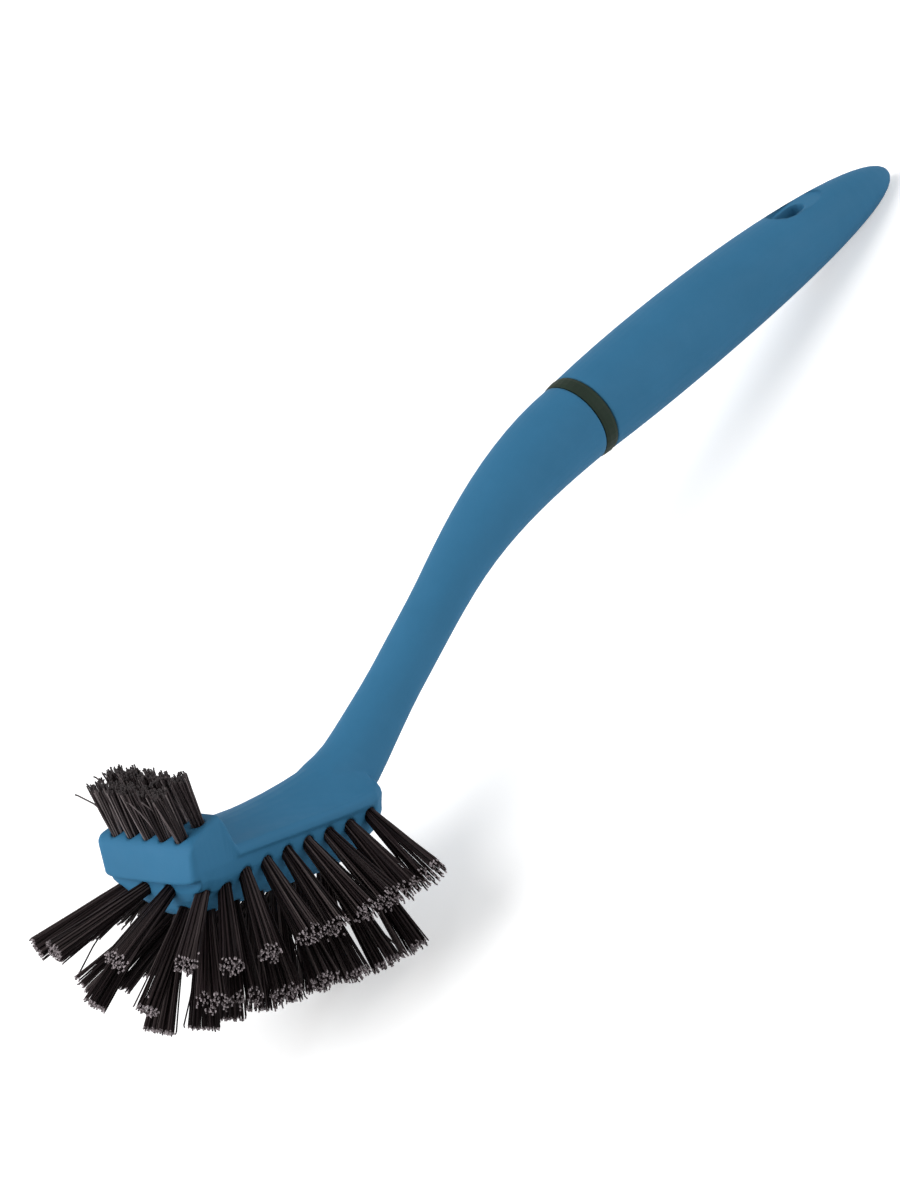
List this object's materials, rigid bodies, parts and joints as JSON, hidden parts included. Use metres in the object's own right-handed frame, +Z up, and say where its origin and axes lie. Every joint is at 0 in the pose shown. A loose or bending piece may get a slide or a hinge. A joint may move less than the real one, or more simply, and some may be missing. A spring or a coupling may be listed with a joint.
{
  "type": "utility brush",
  "caption": "Hand brush with a swan neck: a drilled domed head with a fan of bristle tufts below and short scrubbing tufts on top, a soft ring, and a tapered grip with a hanging hole.",
  "frame": {"origin": "middle of the base of the bounding box: the ground that the bristle tips and the grip's end lie on", "axes": "+X along the brush from the head to the grip's end, +Y to the right of someone who holds the grip, +Z up, with the brush lying on its bristles"},
  "size_m": [0.305, 0.0788, 0.0847],
  "materials": {
    "blue_plastic": "satin moulded polypropylene, blue",
    "black_rubber": "dull dark soft rubber",
    "black_bristle": "black crimp-free polyester filament"
  },
  "bodies": {
    "root": {"centre_tuft_1": "black_bristle", "centre_tuft_2": "black_bristle", "centre_tuft_3": "black_bristle", "centre_tuft_4": "black_bristle", "centre_tuft_5": "black_bristle", "centre_tuft_6": "black_bristle", "centre_tuft_7": "black_bristle", "grip": "blue_plastic", "head_and_neck": "blue_plastic", "inner_tuft_left_1": "black_bristle", "inner_tuft_left_2": "black_bristle", "inner_tuft_left_3": "black_bristle", "inner_tuft_left_4": "black_bristle", "inner_tuft_left_5": "black_bristle", "inner_tuft_left_6": "black_bristle", "inner_tuft_left_7": "black_bristle", "inner_tuft_right_1": "black_bristle", "inner_tuft_right_2": "black_bristle", "inner_tuft_right_3": "black_bristle", "inner_tuft_right_4": "black_bristle", "inner_tuft_right_5": "black_bristle", "inner_tuft_right_6": "black_bristle", "inner_tuft_right_7": "black_bristle", "nose_tuft_lower_left": "black_bristle", "nose_tuft_lower_right": "black_bristle", "nose_tuft_upper_left": "black_bristle", "nose_tuft_upper_right": "black_bristle", "side_tuft_left_1": "black_bristle", "side_tuft_left_2": "black_bristle", "side_tuft_left_3": "black_bristle", "side_tuft_left_4": "black_bristle", "side_tuft_left_5": "black_bristle", "side_tuft_left_6": "black_bristle", "side_tuft_left_7": "black_bristle", "side_tuft_left_8": "black_bristle", "side_tuft_left_9": "black_bristle", "side_tuft_right_1": "black_bristle", "side_tuft_right_2": "black_bristle", "side_tuft_right_3": "black_bristle", "side_tuft_right_4": "black_bristle", "side_tuft_right_5": "black_bristle", "side_tuft_right_6": "black_bristle", "side_tuft_right_7": "black_bristle", "side_tuft_right_8": "black_bristle", "side_tuft_right_9": "black_bristle", "soft_ring": "black_rubber", "top_tuft_front_1": "black_bristle", "top_tuft_front_2": "black_bristle", "top_tuft_front_3": "black_bristle", "top_tuft_front_4": "black_bristle", "top_tuft_front_5": "black_bristle", "top_tuft_rear_1": "black_bristle", "top_tuft_rear_2": "black_bristle", "top_tuft_rear_3": "black_bristle", "top_tuft_rear_4": "black_bristle", "top_tuft_rear_5": "black_bristle"}
  },
  "joints": []
}
